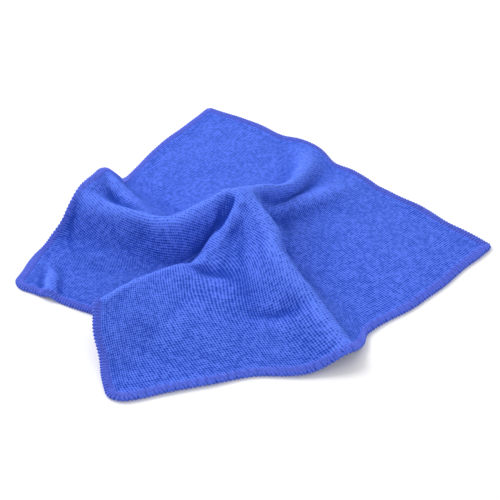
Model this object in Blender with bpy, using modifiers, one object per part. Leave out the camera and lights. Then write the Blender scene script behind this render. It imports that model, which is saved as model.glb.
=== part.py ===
"""A square of knitted microfibre, dropped on a flat surface so that it stands in folds round one peak.

The cloth is worked out from its flat square. A ring is the line of points at one distance from the
pinch, the point of the square that stands up as the peak. FOLDS goes once round the peak and says, for
each fold and hollow, where it runs in plan and how high it stands at a few of those distances. The
cloth keeps its length outwards from the pinch, times each fold's give, and is spread evenly along a ring.
Corners, seen in plan: A at the back, B at the right, C at the front left and D at the left.
"""
import math
from collections import namedtuple

import bmesh
import bpy
import numpy as np

# Driving sizes, in metres
SIDE = 0.300                # the flat square, cut edge to cut edge
THICKNESS = 0.0015          # knitted pile cloth
HEM_THICKNESS = 0.0024      # the overlocked edge
HEM_WIDTH = 0.006
CORNER_RADII = ((0.010, 0.010), (0.004, 0.004))  # the turn of the hem at corners (C, D) and (B, A)
PEAK_HEIGHT = 0.050         # underside of the cloth at the pinch
PINCH = (0.150, 0.144)      # the pinch on the flat square, from corner C
COLUMN_WIDTH = 0.0095       # most that the mesh's columns lie apart, where they are counted
COUNTED_AT = 0.150          # distance from the pinch at which they are counted
MESH_RINGS = 23             # rings of the mesh, from the pinch to the inner edge of the hem
SHORTEST = 0.138            # from the pinch to the nearest hem; further ones stretch the outer rings
RING_STEP = 0.003           # distance between the rings that are worked out
RINGS = 74
STEPS_A_ROW = 24            # places worked out along a ring between two rows of FOLDS
FREE_WITHIN = 0.030         # up to here the rings slip freely round the pinch
FLAT_BEYOND = 0.210         # from here on, in the corners, the cloth lies on the surface
HELD_BEYOND = 0.120         # from here on the rings pass the rows that name a cloth bearing
STEEPEST = 0.15             # least share of a length that still shows in plan
BEND = 0.0026               # the cloth bends over about this length, and never at a point
SEAM_MERGE = 0.00001        # closes the strip where it meets itself
MM = 0.001

# One row for each fold or hollow, in order round the peak.
# cloth: its bearing from the pinch on the flat square, in degrees, or None where it settles by itself.
# tip, near, mid, outer, rim: its bearing in plan, in degrees, at the distances of PLAN_RADII.
# give: how far the knit draws together outwards. h15 to h160: height in mm, at those distances in mm.
Fold = namedtuple("Fold", "part cloth tip near mid outer rim give h15 h35 h60 h90 h125 h160")
PLAN_RADII = (0.015, 0.035, 0.060, 0.100, 0.160)
HEIGHT_RADII = (0.015, 0.035, 0.060, 0.090, 0.125, 0.160)
FOLDS = (
    #    part              cloth   tip   near    mid  outer    rim   give   h15   h35  h60  h90 h125 h160
    Fold("corner B",       -43.8,    4,     2,     2,     2,     1,  0.94,   40,   22,   6,   1,   0,   0),
    Fold("B panel back",    None,   22,    22,    25,    25,    26,  0.96,   40,   22,   6,   2,   0,   0),
    Fold("side slope",      None,   34,    35,    38,    36,    37,  0.96,   40,   22,   8,   4,   2,   0),
    Fold("side ridge",      None,   45,    46,    49,    45,    44,  0.92,   41,   26,  16,  11,   5,   1),
    Fold("between",         None,   53,    52,    52,    53,    56,  0.93,   43,   27,  15,   8,   3,   1),
    Fold("back ridge",      None,   64,    60,    56,    61,    69,  0.97,   45,   37,  26,  16,   9,   3),
    Fold("back pinch",      None,   76,    71,    66,    71,    80,  1.03,   43,   27,  11,   5,   2,   0),
    Fold("corner A",          46,   98,    98,    98,    98,  98.5,  0.96,   42,   28,  14,   4,   0,   0),
    Fold("A panel left",    None,  118,   122,   122,   120,   119,  0.92,   43,   28,  13,   4,   0,   0),
    Fold("behind the roll", None,  130,   138,   144,   138,   133,  0.88,   44,   29,  12,   4,   1,   1),
    Fold("roll back foot",  None,  136,   150,   156,   148,   141,  0.84,   45,   31,  15,   7,   5,   8),
    Fold("roll back",       None,  141,   160,   166,   155,   146,  0.78,   45,   36,  23,  12,  13,  20),
    Fold("roll lip",        None,  145,   168,   174,   163,   152,  0.79, 46.5,   38,  28,  18,  26,  32),
    Fold("roll hollow",     None,  148,   173,   181,   170,   159,  0.78,   47,   39,  30,  23,  21,  34),
    Fold("roll crest",     107.5,  151, 177.5,   186, 176.5, 167.5, 0.765,   47,   39,  31,  29,  29,  31),
    Fold("roll shoulder",   None,  159,   185,   190,   179,   170, 0.785,   45,   35,  27,  24,  26,  24),
    Fold("roll front",      None,  167, 189.5, 193.5,   182,   172,  0.82, 42.5,   29,  19,  16,  18,  14),
    Fold("roll foot",       None,  175,   193,   197,   186,   175, 0.865,   41,   25,  13,   9,   9,   5),
    Fold("D panel back",    None,  183, 197.5,   201,   192,   181, 0.875, 40.5,   24,   9,   4,   4,   1),
    Fold("corner D",         134,  190,   202,   205,   200, 194.5, 0.805,   41, 24.5,   8,   2,   1,   0),
    Fold("D panel",          148,  196,   206, 208.5,   211,   212,  0.77, 41.5,   26,   9,   1,   0,   0),
    Fold("tuck mouth",       159,  202,   210, 212.5,   219,   222,  0.80,   42,   27,   9,   0,   0,   0),
    Fold("tuck floor",      None,  207, 213.5,   216,   226,   229,  0.86,   42,   28,  10,   0,   0,   0),
    Fold("tuck end",         182,  212,   217,   219,   230,   234,  0.84,   42,   28,  11,   4, 4.5, 4.5),
    Fold("tuck roof",       None,  216,   220, 221.5,   226,   229,  0.83,   42,   28,  12,   8,   9,   9),
    Fold("under the crest", None,  221, 223.5,   222,   219,   223,  0.82,   42,   28,  14,  13,  15,  16),
    Fold("pleat crest",      203,  226,   227,   222,   217,   221,  0.82,   42,   28,  15,  16,  19,  22),
    Fold("C hem",           None,  232,   232,   227,   226,   230,  0.85, 42.5,   28,  15,  16,  16,  14),
    Fold("corner C",       223.8,  241,   239,   238,   241, 241.8,  0.85,   42, 26.5,  15,  13,  10,   4),
    Fold("C panel left",    None,  250,   249,   252,   256,   257,  0.84,   42,   26,  15,  11,   7,   1),
    Fold("C panel",         None,  268,   268,   268,   272,   273, 0.845,   42,   28,  17,   9,   4,   0),
    Fold("ridge left",      None,  290,   287,   283,   288,   289,  0.93, 43.5,   35,  27,  17,   6,   1),
    Fold("main ridge",       265,  312,   304,   295,   300,   300,  0.95,   46,   41,  35,  26,  14,   6),
    Fold("ridge right",     None,  323,   316,   306,   306,   304, 0.935,   44,   36,  25,  13,   6,   2),
    Fold("ridge foot",      None,  336,   329,   320,   316,   310,  0.96,   41,   23,   8,   3,   2,   0),
    Fold("B panel front",   None,  349,   345,   340,   335, 332.5,  0.97,   41,   21,   5,   1,   0,   0),
)

# Small waves and dents: their middle on the flat cloth and the way they run,
# with half sizes and height, in mm.
Wave = namedtuple("Wave", "part u v heading length width height")
WAVES = (
    Wave("dent beside the pocket",  89, 118, 290, 22,  8, -5),
    Wave("dent under the ridge",   128,  50,  20, 18,  7, -3),
    Wave("fold near corner D",      12, 272,  25, 18,  6,  5),
)


def smooth(x, knots, values):
    """Values at x on the smooth curve through each column of values, with no overshoot between two knots."""
    knots = np.asarray(knots, dtype=float)
    slopes = np.diff(values, axis=0) / np.diff(knots)[:, None]
    before, after = slopes[:-1], slopes[1:]
    turns_back = before * after <= 0
    mean = np.where(turns_back, 0, 2 * before * after / np.where(turns_back, 1, before + after))
    tangents = np.concatenate([slopes[:1], mean, slopes[-1:]])
    i = np.clip(np.searchsorted(knots, x, side="right") - 1, 0, len(knots) - 2)
    step = (knots[i + 1] - knots[i])[:, None]
    t = (x - knots[i])[:, None] / step
    return ((2 * t**3 - 3 * t**2 + 1) * values[i] + (t**3 - 2 * t**2 + t) * step * tangents[i]
            + (3 * t**2 - 2 * t**3) * values[i + 1] + (t**3 - t**2) * step * tangents[i + 1])


def rows_round_the_peak(names, full_turn=0):
    """The named columns of FOLDS at every place along a ring, smooth where the ring closes."""
    rows = np.array([[getattr(fold, name) for name in names] for fold in FOLDS], dtype=float)
    count = len(FOLDS)
    closed = np.concatenate([rows - full_turn, rows, rows + full_turn])
    places = np.arange(count * STEPS_A_ROW + 1) / STEPS_A_ROW
    return smooth(places, np.arange(-count, 2 * count), closed)


def rings():
    """Every ring as points in space, with the bearing on the flat cloth that each of its points has."""
    distance = np.arange(RINGS + 1) * RING_STEP
    plan = rows_round_the_peak(("tip", "near", "mid", "outer", "rim"), full_turn=360)
    angle = np.radians(smooth(np.clip(distance, PLAN_RADII[0], PLAN_RADII[-1]), PLAN_RADII, plan.T))
    heights = rows_round_the_peak(("h15", "h35", "h60", "h90", "h125", "h160")).T * MM
    top = np.full_like(heights[:1], PEAK_HEIGHT)
    floor = np.zeros_like(top)
    heights = np.concatenate([heights[:1], top, heights, floor, floor])
    radii = (-HEIGHT_RADII[0], 0) + HEIGHT_RADII + (FLAT_BEYOND, RINGS * RING_STEP)
    height = smooth(distance, radii, heights)
    give = rows_round_the_peak(("give",))[:, 0]
    reach = np.zeros_like(height)
    for ring in range(1, RINGS + 1):
        rise = height[ring] - height[ring - 1]
        sideways = reach[ring - 1] * (angle[ring] - angle[ring - 1])
        run = np.sqrt(np.maximum(RING_STEP**2 - rise**2 - sideways**2, (STEEPEST * RING_STEP)**2))
        reach[ring] = reach[ring - 1] + give * run
    points = soften(np.stack([reach * np.cos(angle), reach * np.sin(angle), height], axis=2))
    return points, cloth_bearings(points, distance)


def soften(points):
    """The rings with their folds rounded: each place is averaged with its neighbours along the ring."""
    softened = points.copy()
    for ring, closed in zip(softened[1:], points[1:]):
        steps = np.linalg.norm(np.diff(closed, axis=0), axis=1)
        along = np.cumsum(steps) - steps
        gap = np.abs(along[:, None] - along)
        gap = np.minimum(gap, steps.sum() - gap)
        weight = np.exp(-(gap / BEND)**2 / 2) * (steps + np.roll(steps, 1))
        ring[:-1] = weight @ closed[:-1] / weight.sum(axis=1, keepdims=True)
        ring[-1] = ring[0]
    return softened


def cloth_bearings(points, distance):
    """The bearing on the flat cloth along each ring: the cloth is spread evenly over its slopes."""
    lengths = np.linalg.norm(np.diff(points, axis=1), axis=2)
    lengths[0] = 1
    along = np.concatenate([np.zeros((len(lengths), 1)), np.cumsum(lengths, axis=1)], axis=1)
    named = [i for i, fold in enumerate(FOLDS) if fold.cloth is not None]
    cloth = [FOLDS[i].cloth for i in named] + [FOLDS[named[0]].cloth + 360]
    marks = [i * STEPS_A_ROW for i in named] + [len(FOLDS) * STEPS_A_ROW]
    held = np.array([np.interp(ring, ring[marks], cloth) for ring in along])
    free = 360 * along / along[:, -1:]
    free += (held - free).mean(axis=1, keepdims=True)
    hold = np.clip((distance - FREE_WITHIN) / (HELD_BEYOND - FREE_WITHIN), 0, 1)[:, None]
    hold = hold**2 * (3 - 2 * hold)
    return free + hold * (held - free)


def waves(u, v):
    """The small waves and dents, as one height for each point."""
    total = np.zeros_like(u)
    for wave in WAVES:
        heading = math.radians(wave.heading)
        du, dv = u / MM - wave.u, v / MM - wave.v
        lengthwise = (du * math.cos(heading) + dv * math.sin(heading)) / wave.length
        crosswise = (dv * math.cos(heading) - du * math.sin(heading)) / wave.width
        total += wave.height * MM * np.exp(-lengthwise**2 - crosswise**2)
    return total


def corner_radius(flat):
    """The radius of the corner that is nearest to each point of the flat cloth."""
    right, back = np.moveaxis(flat > SIDE / 2, -1, 0).astype(int)
    return np.array(CORNER_RADII)[right, back]


def past_the_edge(flat):
    """How far points of the flat cloth lie outside its rounded outline, less than 0 within it."""
    radius = corner_radius(flat)
    past = np.abs(flat - SIDE / 2) - (SIDE / 2 - radius)[..., None]
    outside = np.linalg.norm(np.maximum(past, 0), axis=-1)
    return outside + np.minimum(past.max(axis=-1), 0) - radius


def columns(points):
    """The places along the rings where the mesh has columns: on every row of FOLDS, and evenly between."""
    lengths = np.linalg.norm(np.diff(points[round(COUNTED_AT / RING_STEP)], axis=0), axis=1)
    stretches = lengths.reshape(len(FOLDS), STEPS_A_ROW).sum(axis=1)
    counts = np.maximum(2, np.round(stretches / COLUMN_WIDTH).astype(int))
    starts = [row + np.arange(count) / count for row, count in enumerate(counts)]
    return np.concatenate(starts + [[len(FOLDS)]]) * STEPS_A_ROW


def lay():
    """The underside of the cloth as columns of points in space, each from the pinch to the hem and its edge."""
    points, bearings = rings()
    distance = np.arange(RINGS + 1) * RING_STEP
    lattice = np.arange(points.shape[1])
    share = np.linspace(0, 1, MESH_RINGS + 1)
    laid = []
    for place in columns(points):
        bearing = np.radians([np.interp(place, lattice, ring) for ring in bearings])
        flat = np.stack([np.cos(bearing), np.sin(bearing)], axis=1) * distance[:, None] + PINCH
        past = past_the_edge(flat)
        first = int(np.argmax(past > 0))
        edge = np.interp(0, past[first - 1:first + 1], distance[first - 1:first + 1])
        taken = np.append(share * (SHORTEST + (edge - HEM_WIDTH - SHORTEST) * share**2), edge)
        column = [np.interp(place, lattice, ring) for axis in range(3) for ring in points[:, :, axis]]
        column = np.array(column).reshape(3, -1)
        x, y, z = (np.interp(taken, distance, axis) for axis in column)
        u, v = (np.interp(taken, distance, axis) for axis in flat.T)
        laid.append(np.stack([x, y, np.maximum(z + waves(u, v), 0)], axis=1))
    return np.array(laid)


def fabric_material(name, colour):
    """Plain matt knitted fabric."""
    material = bpy.data.materials.new(name)
    material.use_nodes = True
    shader = material.node_tree.nodes["Principled BSDF"]
    shader.inputs["Base Color"].default_value = (*colour, 1)
    shader.inputs["Roughness"].default_value = 0.95
    shader.inputs["Metallic"].default_value = 0
    material.diffuse_color = (*colour, 1)
    return material


def make_cloth(collection):
    """The whole cloth as one sheet: a strip wrapped once round the pinch, laid in folds, thickened upwards."""
    laid = lay()
    column_count, ring_count = laid.shape[:2]
    bm = bmesh.new()
    hem = bm.verts.layers.deform.new()
    bmesh.ops.create_grid(bm, x_segments=column_count - 1, y_segments=ring_count - 1, size=0.5)
    for vert in bm.verts:
        column = round((vert.co.x + 0.5) * (column_count - 1))
        ring = round((vert.co.y + 0.5) * (ring_count - 1))
        vert.co = laid[column, ring]
        if ring >= ring_count - 2:
            vert[hem][0] = 1.0
    bmesh.ops.remove_doubles(bm, verts=bm.verts, dist=SEAM_MERGE)
    bmesh.ops.reverse_faces(bm, faces=bm.faces)
    mesh = bpy.data.meshes.new("cloth")
    bm.to_mesh(mesh)
    bm.free()
    mesh.shade_smooth()
    cloth = bpy.data.objects.new("cloth", mesh)
    collection.objects.link(cloth)
    cloth.vertex_groups.new(name="hem")
    solidify = cloth.modifiers.new("thickness", "SOLIDIFY")
    solidify.thickness = HEM_THICKNESS
    solidify.vertex_group = "hem"
    solidify.thickness_vertex_group = THICKNESS / HEM_THICKNESS
    solidify.offset = 1
    return cloth


def centre_on_floor(cloth):
    """Moves the cloth so that the middle of its footprint is the origin."""
    bpy.context.view_layer.update()
    corners = np.array(cloth.evaluated_get(bpy.context.evaluated_depsgraph_get()).bound_box)
    low, high = corners.min(axis=0), corners.max(axis=0)
    middle = (low + high) / 2
    cloth.location = (-middle[0], -middle[1], -low[2])
    bpy.context.view_layer.update()


def main():
    for old in list(bpy.data.objects):
        bpy.data.objects.remove(old)
    collection = bpy.data.collections.new("microfibre_cloth")
    bpy.context.scene.collection.children.link(collection)
    cloth = make_cloth(collection)
    cloth.data.materials.append(fabric_material("royal_blue_knit", (0.035, 0.085, 0.65)))
    centre_on_floor(cloth)


main()
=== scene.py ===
"""The microfibre cloth dressed: a knitted sheet in the folds of its solid, with its overlocked edge.

The sheet is worked out as its solid is. A ring is the line of points at one distance from the pinch, the
point of the flat square that stands up as the peak. FOLDS goes once round the peak and says, for each fold
and hollow, where it runs in plan and how high it stands at a few of those distances. CREASES adds a deeper
pocket and a low swell that the solid doesn't have. The overlocking is sewn round the edge as real threads.
Corners, seen in plan: A at the back, B at the right, C at the front left and D at the left.
"""
import math
from collections import namedtuple

import bpy
import numpy as np
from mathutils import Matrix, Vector, noise

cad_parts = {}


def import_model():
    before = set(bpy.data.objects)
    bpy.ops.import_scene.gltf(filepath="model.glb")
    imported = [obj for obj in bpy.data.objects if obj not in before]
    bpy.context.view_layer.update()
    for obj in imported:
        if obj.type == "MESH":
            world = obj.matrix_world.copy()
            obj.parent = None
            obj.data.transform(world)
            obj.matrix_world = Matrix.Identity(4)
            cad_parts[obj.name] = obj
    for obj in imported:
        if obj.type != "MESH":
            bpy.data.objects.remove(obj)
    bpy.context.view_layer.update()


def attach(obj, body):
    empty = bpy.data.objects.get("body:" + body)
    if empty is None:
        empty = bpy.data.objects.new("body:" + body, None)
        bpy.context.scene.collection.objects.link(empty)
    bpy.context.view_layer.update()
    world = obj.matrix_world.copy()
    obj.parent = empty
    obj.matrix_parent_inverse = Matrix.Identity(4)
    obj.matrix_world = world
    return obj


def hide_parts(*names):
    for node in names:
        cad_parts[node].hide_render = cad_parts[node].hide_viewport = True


MM = 0.001

# The cloth, in metres
SIDE = 0.300                # the flat square, cut edge to cut edge
THICKNESS = 0.0015          # knitted pile cloth
CORNER_RADII = ((0.010, 0.010), (0.004, 0.004))  # the overlocking's turn at corners (C, D) and (B, A)
PEAK_HEIGHT = 0.050         # underside of the cloth at the pinch
PINCH = (0.150, 0.144)      # the pinch on the flat square, from corner C
PEAK_AT = (-0.0113, -0.0239)  # the pinch in the frame, whose origin is the middle of the footprint
CELL = 0.0014               # side of the sheet's mesh cells on the flat square

# The rings that the folds are worked out on
RING_STEP = 0.0015
RINGS = 148
STEPS_A_ROW = 24            # places worked out along a ring between two rows of FOLDS
FREE_WITHIN = 0.030         # up to here the rings slip freely round the pinch
FLAT_BEYOND = 0.210         # from here on, in the corners, the cloth lies on the surface
HELD_BEYOND = 0.120         # from here on the rings pass the rows that name a cloth bearing
STEEPEST = 0.15             # least share of a length that still shows in plan
BEND = 0.0026               # the cloth bends over about this length, and never at a point

# The overlocked edge
STITCHES = 490              # round the whole edge, 2.4 mm from one to the next
HEM_WIDTH = 0.0056          # from the cut edge to the needle's line
HEM_LIFT = 0.0004           # the threads under the edge lift it by this much
LIFT_FADES = 0.004          # past the needle's line the lift fades out over this length
THREAD_RADIUS = 0.00042
POINTS_A_STITCH = 16
LOOP_POWER = 0.7            # how square a thread's wave is across the edge: 1 is a plain wave, 0 a square one
LEVEL_POWER = 0.5           # the same, up and down
LOWER_SINKS = 0.00015       # the lower looper's thread lies this much nearer to the cloth
EDGE_SWAY = 0.0016          # how far the edge wanders from a true line
SWAY_LENGTH = 0.028         # length of one such wander
SWAY_FADES = 0.025          # how far in from the edge it is felt
OTHER_NOISE = Vector((0, 0, 7))  # a place in the noise far from the first, for a second direction

# The knit
UNEVENNESS = ((0.016, 0.25), (0.045, 0.5))  # length in metres and height in mm of the cloth's soft bumps
BEND_CELLS = 3              # cells of the grid over which a bend is measured
FULL_HIGHLIGHT_RADIUS = 0.010        # a bend of this radius gets the full painted highlight along its crest
WALE = 0.0017               # from one rib to the next, across the ribs
COURSE = 0.0018             # from one row of stitches to the next, along a rib
ROW_SWAY = 0.0007           # how far the rows of stitches wander
ROW_SWAY_SCALE = 220        # scales of noise on the flat cloth, to the metre
PILE_SCALE = 900
PATCH_SCALE = 60
RIBS = 0.6                  # how much each thing lightens the knit
ROWS = 0.38
SINGLE_STITCHES = 0.42
PILE = 0.5
PATCHES = 0.2
# painted highlight along the crests of the folds
CREST_HIGHLIGHT = 0.32
SHADE_SCALE = 0.5           # brings their sum into the colour ramp's 0 to 1
KNIT_DARK = (0.35, (0.014, 0.055, 0.45))   # place on the ramp and colour: down between the stitches, partly painted shade in the grooves and partly the stitches' own random tone
KNIT_LIGHT = (0.75, (0.125, 0.235, 1.00))  # the top of the pile
KNIT_RELIEF = 0.0006
SHEEN_TINT = (0.16, 0.36, 1, 1)
THREAD_DARK = (0.3, (0.035, 0.070, 0.45))
THREAD_LIGHT = (0.7, (0.100, 0.175, 0.95))
FIBRE_SCALE = 2500
FIBRE_RELIEF = 0.0002

# The view: from the front, looking down
CAMERA_ELEVATION = math.radians(38)
CAMERA_DISTANCE = 0.72
FOCAL_PIXELS = 1040
IMAGE_WIDTH = 500
SENSOR_WIDTH = 36           # mm
AIM_RIGHT_OF_PEAK = 0.005   # the point on the floor that the camera looks at

# The studio
FLOOR_SIDE = 6
FLOOR_SHADE = (0.93, 0.93, 0.93, 1)
WORLD_LIGHT = 0.66
Lamp = namedtuple("Lamp", "name location size power")
LAMPS = (
    Lamp("key", (-0.85, 0.65, 1.00), 0.8, 17),
    Lamp("back", (0.50, 1.20, 0.60), 0.8, 4),
    Lamp("fill", (0.60, -1.10, 0.60), 1.0, 3),
)

# One row for each fold or hollow, in order round the peak.
# cloth: its bearing from the pinch on the flat square, in degrees, or None where it settles by itself.
# tip, near, mid, outer, rim: its bearing in plan, in degrees, at the distances of PLAN_RADII.
# give: how far the knit draws together outwards. h15 to h160: height in mm, at those distances in mm.
Fold = namedtuple("Fold", "part cloth tip near mid outer rim give h15 h35 h60 h90 h125 h160")
PLAN_RADII = (0.015, 0.035, 0.060, 0.100, 0.160)
HEIGHT_RADII = (0.015, 0.035, 0.060, 0.090, 0.125, 0.160)
FOLDS = (
    #    part              cloth   tip   near    mid  outer    rim   give   h15   h35  h60  h90 h125 h160
    Fold("corner B",       -43.8,    4,     2,     2,     2,     1,  0.94,   40,   22,   6,   1,   0,   0),
    Fold("B panel back",    None,   22,    22,    25,    25,    26,  0.96,   40,   22,   6,   2,   0,   0),
    Fold("side slope",      None,   34,    35,    38,    36,    37,  0.96,   40,   22,   8,   4,   2,   0),
    Fold("side ridge",      None,   45,    46,    49,    45,    44,  0.92,   41,   26,  16,  11,   5,   1),
    Fold("between",         None,   53,    52,    52,    53,    56,  0.93,   43,   27,  15,   8,   3,   1),
    Fold("back ridge",      None,   64,    60,    56,    61,    69,  0.97,   45,   37,  26,  16,   9,   3),
    Fold("back pinch",      None,   76,    71,    66,    71,    80,  1.03,   43,   27,  11,   5,   2,   0),
    Fold("corner A",          46,   98,    98,    98,    98,  98.5,  0.96,   42,   28,  14,   4,   0,   0),
    Fold("A panel left",    None,  118,   122,   122,   120,   119,  0.92,   43,   28,  13,   4,   0,   0),
    Fold("behind the roll", None,  130,   138,   144,   138,   133,  0.88,   44,   29,  12,   4,   1,   1),
    Fold("roll back foot",  None,  136,   150,   156,   148,   141,  0.84,   45,   31,  15,   7,   5,   8),
    Fold("roll back",       None,  141,   160,   166,   155,   146,  0.78,   45,   36,  23,  12,  13,  20),
    Fold("roll lip",        None,  145,   168,   174,   163,   152,  0.79, 46.5,   38,  28,  18,  26,  32),
    Fold("roll hollow",     None,  148,   173,   181,   170,   159,  0.78,   47,   39,  30,  23,  21,  34),
    Fold("roll crest",     107.5,  151, 177.5,   186, 176.5, 167.5, 0.765,   47,   39,  31,  29,  29,  31),
    Fold("roll shoulder",   None,  159,   185,   190,   179,   170, 0.785,   45,   35,  27,  24,  26,  24),
    Fold("roll front",      None,  167, 189.5, 193.5,   182,   172,  0.82, 42.5,   29,  19,  16,  18,  14),
    Fold("roll foot",       None,  175,   193,   197,   186,   175, 0.865,   41,   25,  13,   9,   9,   5),
    Fold("D panel back",    None,  183, 197.5,   201,   192,   181, 0.875, 40.5,   24,   9,   4,   4,   1),
    Fold("corner D",         134,  190,   202,   205,   200, 194.5, 0.805,   41, 24.5,   8,   2,   1,   0),
    Fold("D panel",          148,  196,   206, 208.5,   211,   212,  0.77, 41.5,   26,   9,   1,   0,   0),
    Fold("tuck mouth",       159,  202,   210, 212.5,   219,   222,  0.80,   42,   27,   9,   0,   0,   0),
    Fold("tuck floor",      None,  207, 213.5,   216,   226,   229,  0.86,   42,   28,  10,   0,   0,   0),
    Fold("tuck end",         182,  212,   217,   219,   230,   234,  0.84,   42,   28,  11,   4, 4.5, 4.5),
    Fold("tuck roof",       None,  216,   220, 221.5,   226,   229,  0.83,   42,   28,  12,   8,   9,   9),
    Fold("under the crest", None,  221, 223.5,   222,   219,   223,  0.82,   42,   28,  14,  13,  15,  16),
    Fold("pleat crest",      203,  226,   227,   222,   217,   221,  0.82,   42,   28,  15,  16,  19,  22),
    Fold("C hem",           None,  232,   232,   227,   226,   230,  0.85, 42.5,   28,  15,  16,  16,  14),
    Fold("corner C",       223.8,  241,   239,   238,   241, 241.8,  0.85,   42, 26.5,  15,  13,  10,   4),
    Fold("C panel left",    None,  250,   249,   252,   256,   257,  0.84,   42,   26,  15,  11,   7,   1),
    Fold("C panel",         None,  268,   268,   268,   272,   273, 0.845,   42,   28,  17,   9,   4,   0),
    Fold("ridge left",      None,  290,   287,   283,   288,   289,  0.93, 43.5,   35,  27,  17,   6,   1),
    Fold("main ridge",       265,  312,   304,   295,   300,   300,  0.95,   46,   41,  35,  26,  14,   6),
    Fold("ridge right",     None,  323,   316,   306,   306,   304, 0.935,   44,   36,  25,  13,   6,   2),
    Fold("ridge foot",      None,  336,   329,   320,   316,   310,  0.96,   41,   23,   8,   3,   2,   0),
    Fold("B panel front",   None,  349,   345,   340,   335, 332.5,  0.97,   41,   21,   5,   1,   0,   0),
)

# Small waves, dents and creases: their middle on the flat cloth and the way they run, with half sizes and
# height, in mm. The waves are close to the solid's own, straight up; the creases are only here, and stand
# on the cloth.
Wave = namedtuple("Wave", "part u v heading length width height")
WAVES = (
    Wave("dent beside the pocket",  89, 118, 290, 22,  8, -5),
    Wave("dent under the ridge",   122,  50, -12, 18,  7, -3),
    Wave("fold near corner D",      12, 272,  25, 18,  5,  4),
)
CREASES = (
    Wave("pocket beside the peak", 127, 150, 168, 14,  6, -7),
    Wave("front of the C panel",    70,  60,  40, 30,  7, 0.8),
)


def smooth(x, knots, values):
    """Values at x on the smooth curve through each column of values, with no overshoot between two knots."""
    knots = np.asarray(knots, dtype=float)
    slopes = np.diff(values, axis=0) / np.diff(knots)[:, None]
    before, after = slopes[:-1], slopes[1:]
    turns_back = before * after <= 0
    mean = np.where(turns_back, 0, 2 * before * after / np.where(turns_back, 1, before + after))
    tangents = np.concatenate([slopes[:1], mean, slopes[-1:]])
    i = np.clip(np.searchsorted(knots, x, side="right") - 1, 0, len(knots) - 2)
    step = (knots[i + 1] - knots[i])[:, None]
    t = (x - knots[i])[:, None] / step
    return ((2 * t**3 - 3 * t**2 + 1) * values[i] + (t**3 - 2 * t**2 + t) * step * tangents[i]
            + (3 * t**2 - 2 * t**3) * values[i + 1] + (t**3 - t**2) * step * tangents[i + 1])


def fade(x, start, end):
    """A smooth step from 0 at start to 1 at end."""
    t = np.clip((x - start) / (end - start), 0, 1)
    return t**2 * (3 - 2 * t)


def rows_round_the_peak(names, full_turn=0):
    """The named columns of FOLDS at every place along a ring, smooth where the ring closes."""
    rows = np.array([[getattr(fold, name) for name in names] for fold in FOLDS], dtype=float)
    count = len(FOLDS)
    closed = np.concatenate([rows - full_turn, rows, rows + full_turn])
    places = np.arange(count * STEPS_A_ROW + 1) / STEPS_A_ROW
    return smooth(places, np.arange(-count, 2 * count), closed)


def rings():
    """Every ring as points in space, with the bearing on the flat cloth that each of its points has."""
    distance = np.arange(RINGS + 1) * RING_STEP
    plan = rows_round_the_peak(("tip", "near", "mid", "outer", "rim"), full_turn=360)
    angle = np.radians(smooth(np.clip(distance, PLAN_RADII[0], PLAN_RADII[-1]), PLAN_RADII, plan.T))
    heights = rows_round_the_peak(("h15", "h35", "h60", "h90", "h125", "h160")).T * MM
    top = np.full_like(heights[:1], PEAK_HEIGHT)
    floor = np.zeros_like(top)
    heights = np.concatenate([heights[:1], top, heights, floor, floor])
    radii = (-HEIGHT_RADII[0], 0) + HEIGHT_RADII + (FLAT_BEYOND, RINGS * RING_STEP)
    height = smooth(distance, radii, heights)
    give = rows_round_the_peak(("give",))[:, 0]
    reach = np.zeros_like(height)
    for ring in range(1, RINGS + 1):
        rise = height[ring] - height[ring - 1]
        sideways = reach[ring - 1] * (angle[ring] - angle[ring - 1])
        run = np.sqrt(np.maximum(RING_STEP**2 - rise**2 - sideways**2, (STEEPEST * RING_STEP)**2))
        reach[ring] = reach[ring - 1] + give * run
    points = soften(np.stack([reach * np.cos(angle), reach * np.sin(angle), height], axis=2))
    return points, cloth_bearings(points, distance)


def soften(points):
    """The rings with their folds rounded: each place is averaged with its neighbours along the ring."""
    softened = points.copy()
    for ring, closed in zip(softened[1:], points[1:]):
        steps = np.linalg.norm(np.diff(closed, axis=0), axis=1)
        along = np.cumsum(steps) - steps
        gap = np.abs(along[:, None] - along)
        gap = np.minimum(gap, steps.sum() - gap)
        weight = np.exp(-(gap / BEND)**2 / 2) * (steps + np.roll(steps, 1))
        ring[:-1] = weight @ closed[:-1] / weight.sum(axis=1, keepdims=True)
        ring[-1] = ring[0]
    return softened


def cloth_bearings(points, distance):
    """The bearing on the flat cloth along each ring: the cloth is spread evenly over its slopes."""
    lengths = np.linalg.norm(np.diff(points, axis=1), axis=2)
    lengths[0] = 1
    along = np.concatenate([np.zeros((len(lengths), 1)), np.cumsum(lengths, axis=1)], axis=1)
    named = [i for i, fold in enumerate(FOLDS) if fold.cloth is not None]
    cloth = [FOLDS[i].cloth for i in named] + [FOLDS[named[0]].cloth + 360]
    marks = [i * STEPS_A_ROW for i in named] + [len(FOLDS) * STEPS_A_ROW]
    held = np.array([np.interp(ring, ring[marks], cloth) for ring in along])
    free = 360 * along / along[:, -1:]
    free += (held - free).mean(axis=1, keepdims=True)
    hold = fade(distance, FREE_WITHIN, HELD_BEYOND)[:, None]
    return free + hold * (held - free)


def relief(rows, flat):
    """The height that rows of WAVES or CREASES give to points of the flat cloth."""
    total = np.zeros(flat.shape[:-1])
    for row in rows:
        heading = math.radians(row.heading)
        du, dv = flat[..., 0] / MM - row.u, flat[..., 1] / MM - row.v
        lengthwise = (du * math.cos(heading) + dv * math.sin(heading)) / row.length
        crosswise = (dv * math.cos(heading) - du * math.sin(heading)) / row.width
        total += row.height * MM * np.exp(-lengthwise**2 - crosswise**2)
    return total


def edge_sway(flat):
    """How far the edge wanders in plan from a true line, near it."""
    near = fade(past_the_edge(flat), -SWAY_FADES, 0)
    sway = np.zeros((len(flat), 2))
    for i in np.flatnonzero(near):
        place = Vector((*flat[i], 0)) / SWAY_LENGTH
        sway[i] = noise.noise(place), noise.noise(place + OTHER_NOISE)
    return near[:, None] * sway * EDGE_SWAY


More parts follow.
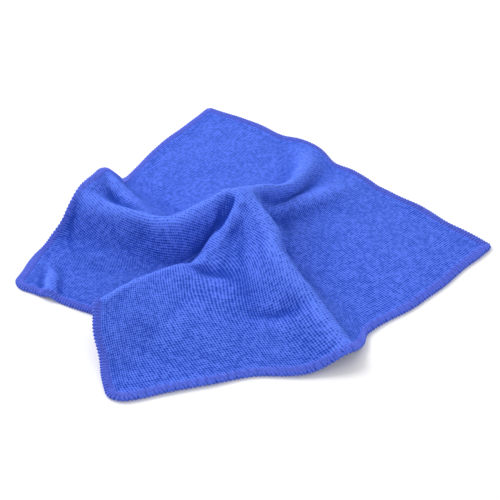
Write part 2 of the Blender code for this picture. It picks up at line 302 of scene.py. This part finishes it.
class Drape:
    """The draped cloth: takes points of the flat square to where they lie."""

    def __init__(self):
        self.points, self.bearings = rings()

    def on_ring(self, ring, bearing):
        """The points of one ring at bearings of the flat cloth."""
        start = self.bearings[ring, 0]
        count = self.points.shape[1]
        place = np.interp(start + (bearing - start) % 360, self.bearings[ring], np.arange(count))
        before = np.minimum(place.astype(int), count - 2)
        share = (place - before)[:, None]
        return self.points[ring, before] * (1 - share) + self.points[ring, before + 1] * share

    def lay(self, flat):
        """Where points of the flat cloth lie, on its underside."""
        away = flat.reshape(-1, 2) - PINCH
        distance = np.hypot(away[:, 0], away[:, 1]) / RING_STEP
        bearing = np.degrees(np.arctan2(away[:, 1], away[:, 0]))
        inner = np.minimum(distance.astype(int), RINGS - 1)
        laid = np.zeros((len(away), 3))
        for ring in range(RINGS):
            here = inner == ring
            share = (distance[here] - ring)[:, None]
            laid[here] = (self.on_ring(ring, bearing[here]) * (1 - share)
                          + self.on_ring(ring + 1, bearing[here]) * share)
        laid[:, 2] = np.maximum(laid[:, 2] + relief(WAVES, flat).reshape(-1), 0)
        laid[:, :2] += edge_sway(flat.reshape(-1, 2))
        return (laid + (*PEAK_AT, 0)).reshape(*flat.shape[:-1], 3)

    def normals(self, flat):
        """The way out of the cloth's upper face at points of the flat cloth."""
        across, along = (MM, 0), (0, MM)
        right = self.lay(flat + across) - self.lay(flat - across)
        back = self.lay(flat + along) - self.lay(flat - along)
        out = np.cross(right, back)
        return out / np.linalg.norm(out, axis=-1, keepdims=True)


def corner_radius(flat):
    """The radius of the corner that is nearest to each point of the flat cloth."""
    right, back = np.moveaxis(flat > SIDE / 2, -1, 0).astype(int)
    return np.array(CORNER_RADII)[right, back]


def past_the_edge(flat):
    """How far points of the flat cloth lie outside its rounded outline, less than 0 within it."""
    radius = corner_radius(flat)
    past = np.abs(flat - SIDE / 2) - (SIDE / 2 - radius)[..., None]
    outside = np.linalg.norm(np.maximum(past, 0), axis=-1)
    return outside + np.minimum(past.max(axis=-1), 0) - radius


def flat_grid():
    """The flat cloth as a grid of points, with its corners drawn in to their rounds."""
    line = np.linspace(-SIDE / 2, SIDE / 2, round(SIDE / CELL) + 1)
    grid = np.stack(np.meshgrid(line, line, indexing="ij"), axis=-1)
    past = np.maximum(np.abs(grid) - (SIDE / 2 - corner_radius(grid + SIDE / 2))[..., None], 0)
    length = np.linalg.norm(past, axis=-1, keepdims=True)
    drawn = past * past.max(axis=-1, keepdims=True) / np.where(length > 0, length, 1)
    return grid + np.sign(grid) * (drawn - past) + SIDE / 2


def unevenness(flat):
    """The low, soft bumps of a cloth that has been handled."""
    heights = [sum(noise.noise(Vector((u, v, layer)) / length) * height
                   for layer, (length, height) in enumerate(UNEVENNESS))
               for u, v in flat.reshape(-1, 2)]
    return np.array(heights).reshape(flat.shape[:-1]) * MM


def surface(drape, flat):
    """The underside of the dressed cloth and the way out of it, creased, uneven and lifted at its edge."""
    out = drape.normals(flat)
    lift = HEM_LIFT * fade(past_the_edge(flat), -HEM_WIDTH - LIFT_FADES, -HEM_WIDTH)
    laid = drape.lay(flat) + (relief(CREASES, flat) + unevenness(flat) + lift)[..., None] * out
    laid[..., 2] = np.maximum(laid[..., 2], lift)
    return laid, out


def convexity(points, out):
    """How sharply the sheet bends away from its upper face at each point of its grid, 1 at a bend of the full
    highlight's radius: it sets the painted highlight on the crests.
    """
    bend = np.zeros(points.shape[:2])
    for axis in range(2):
        line = np.moveaxis(points, axis, 0)
        before, middle, after = line[:-2 * BEND_CELLS], line[BEND_CELLS:-BEND_CELLS], line[2 * BEND_CELLS:]
        sag = 2 * middle - before - after
        towards = np.moveaxis(out, axis, 0)[BEND_CELLS:-BEND_CELLS]
        run = np.linalg.norm(after - before, axis=-1) / 2
        np.moveaxis(bend, axis, 0)[BEND_CELLS:-BEND_CELLS] += (sag * towards).sum(axis=-1) / run**2
    return bend * FULL_HIGHLIGHT_RADIUS


def new_object(name, data, collection):
    made = bpy.data.objects.new(name, data)
    collection.objects.link(made)
    return made


def make_sheet(drape, collection):
    """The knitted cloth as one closed sheet: its upper and its under face, joined round the edge."""
    flat = flat_grid()
    count = len(flat)
    under, out = surface(drape, flat)
    vertices = np.concatenate([(under + THICKNESS * out).reshape(-1, 3), under.reshape(-1, 3)])
    index = np.arange(count * count).reshape(count, count)
    cells = np.stack([index[:-1, :-1], index[1:, :-1], index[1:, 1:], index[:-1, 1:]], axis=-1).reshape(-1, 4)
    edge = np.concatenate([index[:-1, 0], index[-1, :-1], index[:0:-1, -1], index[0, :0:-1]])
    after = np.roll(edge, -1)
    below = count * count
    rim = np.stack([edge, edge + below, after + below, after], axis=-1)
    faces = np.concatenate([cells, cells[:, ::-1] + below, rim])
    mesh = bpy.data.meshes.new("cloth")
    mesh.from_pydata(vertices.tolist(), [], faces.tolist())
    mesh.shade_smooth()
    corners = faces.reshape(-1)
    places = flat.reshape(-1, 2)[corners % below]
    mesh.uv_layers.new(name="knit").data.foreach_set("uv", places.reshape(-1))
    # how convex the sheet is, kept as the crest attribute that sets the knit's painted highlight
    crest = convexity(under, out)
    crest = np.concatenate([crest, -crest]).reshape(-1)
    mesh.attributes.new("crest", "FLOAT", "POINT").data.foreach_set("value", crest)
    return new_object("cloth_sheet", mesh, collection)


def edge_path(steps):
    """Points evenly along the flat cloth's outline, anticlockwise from corner C, with the way out at each."""
    (c, d), (b, a) = CORNER_RADII
    points, outward = [], []
    for turn, (before, after) in enumerate(((c, b), (b, a), (a, d), (d, c))):
        aim = turn * math.pi / 2
        ahead = np.array([math.cos(aim), math.sin(aim)])
        out = np.array([math.sin(aim), -math.cos(aim)])
        for run in np.arange(before, SIDE - after, MM):
            points.append((run - SIDE / 2) * ahead + SIDE / 2 * out)
            outward.append(out)
        for bend in np.arange(0, math.pi / 2, MM / after):
            turned = math.cos(bend) * out + math.sin(bend) * ahead
            points.append((SIDE / 2 - after) * (ahead + out) + after * turned)
            outward.append(turned)
    points, outward = (np.array(column + column[:1]) for column in (points, outward))
    along = np.concatenate([[0], np.cumsum(np.linalg.norm(np.diff(points, axis=0), axis=1))])
    places = np.arange(steps) * along[-1] / steps
    spread = [[np.interp(places, along, axis) for axis in column.T] for column in (points, outward)]
    return np.transpose(spread[0]) + SIDE / 2, np.transpose(spread[1])


def squared(wave, power):
    """A wave between -1 and 1 that runs squarer the further its power is under 1."""
    return np.sign(wave) * np.abs(wave)**power


def thread_round_the_edge(drape, name, slant, sink, collection):
    """A looper thread: it goes over the edge, under it and back up in every stitch."""
    steps = STITCHES * POINTS_A_STITCH
    path, outward = edge_path(steps)
    turn = slant * 2 * math.pi * np.arange(steps) / POINTS_A_STITCH
    half = HEM_WIDTH / 2 + THREAD_RADIUS
    inset = HEM_WIDTH / 2 - half * squared(np.cos(turn), LOOP_POWER)
    level = squared(np.sin(turn), LEVEL_POWER)
    inside = np.maximum(inset, 0)
    flat = path - inside[:, None] * outward
    under, out = surface(drape, flat)
    beyond = drape.lay(path) - drape.lay(path - MM * outward)
    beyond /= np.linalg.norm(beyond, axis=1, keepdims=True)
    height = THICKNESS / 2 + level * (THICKNESS / 2 + HEM_LIFT - sink)
    points = under + height[:, None] * out + (inside - inset)[:, None] * beyond
    points[:, 2] = np.maximum(points[:, 2], THREAD_RADIUS)
    curve = bpy.data.curves.new(name, "CURVE")
    curve.dimensions = "3D"
    curve.bevel_depth = THREAD_RADIUS
    curve.bevel_resolution = 1
    spline = curve.splines.new("POLY")
    spline.points.add(len(points) - 1)
    spline.points.foreach_set("co", np.column_stack([points, np.ones(len(points))]).reshape(-1))
    spline.use_cyclic_u = True
    return new_object(name, curve, collection)


def new_material(name):
    material = bpy.data.materials.new(name)
    material.use_nodes = True
    return material, material.node_tree, material.node_tree.nodes["Principled BSDF"]


def add_node(tree, kind, values, **settings):
    """A node with its settings, and each input a value or another node's output."""
    made = tree.nodes.new(kind)
    for name, value in settings.items():
        setattr(made, name, value)
    for key, value in values.items():
        if isinstance(value, bpy.types.NodeSocket):
            tree.links.new(value, made.inputs[key])
        else:
            made.inputs[key].default_value = value
    return made.outputs[0]


def calculate(tree, operation, *values):
    return add_node(tree, "ShaderNodeMath", dict(enumerate(values)), operation=operation)


def added(tree, total, *shares):
    """A total with shares added to it in turn, each an output and its weight."""
    for output, weight in shares:
        total = calculate(tree, "MULTIPLY_ADD", output, weight, total)
    return total


def wave_of(tree, place, pitch):
    """1 on the middle line of each rib and 0 in the groove, along one axis of the cloth."""
    angle = calculate(tree, "MULTIPLY", place, 2 * math.pi / pitch)
    return calculate(tree, "MULTIPLY_ADD", calculate(tree, "COSINE", angle), 0.5, 0.5)


def noise_of(tree, place, scale, output="Fac"):
    values = {"Vector": place, "Scale": scale, "Detail": 3, "Roughness": 0.7}
    return add_node(tree, "ShaderNodeTexNoise", values).node.outputs[output]


def stitch_noise(tree, across, along):
    """A brightness of its own for every stitch."""
    column = calculate(tree, "FLOOR", calculate(tree, "DIVIDE", across, WALE))
    row = calculate(tree, "FLOOR", calculate(tree, "DIVIDE", along, COURSE))
    cell = add_node(tree, "ShaderNodeCombineXYZ", {"X": column, "Y": row})
    return add_node(tree, "ShaderNodeTexWhiteNoise", {"Vector": cell}, noise_dimensions="2D")


def add_ramp(tree, shade, *stops):
    """A colour ramp between two stops, each a position and a colour."""
    ramp = tree.nodes.new("ShaderNodeValToRGB")
    for element, (position, colour) in zip(ramp.color_ramp.elements, stops):
        element.position = position
        element.color = (*colour, 1)
    tree.links.new(shade, ramp.inputs[0])
    return ramp.outputs[0]


def knit_material():
    """Ribs along the cloth, each a chain of small uneven stitches, in a soft matt pile, with painted shade
    down in the grooves and a painted highlight along the crests of the folds.
    """
    material, tree, shader = new_material("knit")
    place = add_node(tree, "ShaderNodeUVMap", {}, uv_map="knit")
    # the crest attribute: where the knit gets its painted highlight
    crest = add_node(tree, "ShaderNodeAttribute", {}, attribute_name="crest").node.outputs["Fac"]
    sway = noise_of(tree, place, ROW_SWAY_SCALE, "Color")
    swayed = add_node(tree, "ShaderNodeVectorMath", {0: sway, 1: (ROW_SWAY, ROW_SWAY, 0), 2: place},
                      operation="MULTIPLY_ADD")
    across, along = add_node(tree, "ShaderNodeSeparateXYZ", {0: swayed}).node.outputs[:2]
    rows = calculate(tree, "MULTIPLY", wave_of(tree, along, COURSE), ROWS)
    height = added(tree, rows, (wave_of(tree, across, WALE), RIBS),
                   (stitch_noise(tree, across, along), SINGLE_STITCHES),
                   (noise_of(tree, place, PILE_SCALE), PILE))
    # random patches of tone, and the painted highlight on the crests
    lightness = added(tree, height, (noise_of(tree, place, PATCH_SCALE), PATCHES),
                      (calculate(tree, "MINIMUM", crest, 1), CREST_HIGHLIGHT))
    # the ramp paints shade into the grooves between stitches and a highlight onto the crests of the folds;
    # the stitch, pile and patch noise vary the tone at random
    ramp = add_ramp(tree, calculate(tree, "MULTIPLY", lightness, SHADE_SCALE), KNIT_DARK, KNIT_LIGHT)
    tree.links.new(ramp, shader.inputs["Base Color"])
    bump = add_node(tree, "ShaderNodeBump", {"Height": height, "Strength": 0.8, "Distance": KNIT_RELIEF})
    tree.links.new(bump, shader.inputs["Normal"])
    shader.inputs["Roughness"].default_value = 0.9
    shader.inputs["Specular IOR Level"].default_value = 0.1
    shader.inputs["Sheen Weight"].default_value = 0.3
    shader.inputs["Sheen Roughness"].default_value = 0.3
    shader.inputs["Sheen Tint"].default_value = SHEEN_TINT
    return material


def thread_material():
    """Bulky sewing thread, a little darker than the knit."""
    material, tree, shader = new_material("edge_thread")
    place = add_node(tree, "ShaderNodeNewGeometry", {})
    fibres = add_node(tree, "ShaderNodeTexNoise", {"Vector": place, "Scale": FIBRE_SCALE, "Detail": 3})
    ramp = add_ramp(tree, fibres, THREAD_DARK, THREAD_LIGHT)
    tree.links.new(ramp, shader.inputs["Base Color"])
    bump = add_node(tree, "ShaderNodeBump", {"Height": fibres, "Strength": 0.5, "Distance": FIBRE_RELIEF})
    tree.links.new(bump, shader.inputs["Normal"])
    shader.inputs["Roughness"].default_value = 0.8
    shader.inputs["Sheen Weight"].default_value = 0.2
    return material


def make_camera():
    """The photograph's view: a level look from the front, down at the floor just right of the peak."""
    camera = bpy.data.cameras.new("camera")
    camera.sensor_width = SENSOR_WIDTH
    camera.lens = SENSOR_WIDTH * FOCAL_PIXELS / IMAGE_WIDTH
    aim = Vector((PEAK_AT[0] + AIM_RIGHT_OF_PEAK, PEAK_AT[1], 0))
    back = Vector((0, -math.cos(CAMERA_ELEVATION), math.sin(CAMERA_ELEVATION)))
    made = new_object("camera", camera, bpy.context.scene.collection)
    made.location = aim + CAMERA_DISTANCE * back
    made.rotation_euler = (math.pi / 2 - CAMERA_ELEVATION, 0, 0)
    bpy.context.scene.camera = made


def make_light(lamp):
    """A soft square lamp that shines at the cloth."""
    light = bpy.data.lights.new(lamp.name, "AREA")
    light.size = lamp.size
    light.energy = lamp.power
    made = new_object(lamp.name, light, bpy.context.scene.collection)
    made.location = lamp.location
    made.rotation_euler = (-Vector(lamp.location)).to_track_quat("-Z", "Y").to_euler()


def make_studio():
    """A pale floor under soft light from all round, strongest from the left and behind."""
    bpy.ops.mesh.primitive_plane_add(size=FLOOR_SIDE)
    floor = bpy.context.object
    floor.name = "floor"
    material, _, shader = new_material("pale_floor")
    shader.inputs["Base Color"].default_value = FLOOR_SHADE
    shader.inputs["Roughness"].default_value = 0.8
    floor.data.materials.append(material)
    world = bpy.data.worlds.new("studio")
    bpy.context.scene.world = world
    world.use_nodes = True
    background = world.node_tree.nodes["Background"]
    background.inputs["Color"].default_value = (1, 1, 1, 1)
    background.inputs["Strength"].default_value = WORLD_LIGHT
    for lamp in LAMPS:
        make_light(lamp)
    bpy.context.scene.view_settings.view_transform = "Standard"


def main():
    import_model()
    make_camera()
    collection = bpy.data.collections.new("microfibre_cloth")
    bpy.context.scene.collection.children.link(collection)
    drape = Drape()
    sheet = make_sheet(drape, collection)
    sheet.data.materials.append(knit_material())
    threads = [
        thread_round_the_edge(drape, "upper_looper_thread", 1, 0, collection),
        thread_round_the_edge(drape, "lower_looper_thread", -1, LOWER_SINKS, collection),
    ]
    thread = thread_material()
    for piece in threads:
        piece.data.materials.append(thread)
    for piece in [sheet, *threads]:
        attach(piece, "root")
    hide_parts("cloth")
    make_studio()


main()
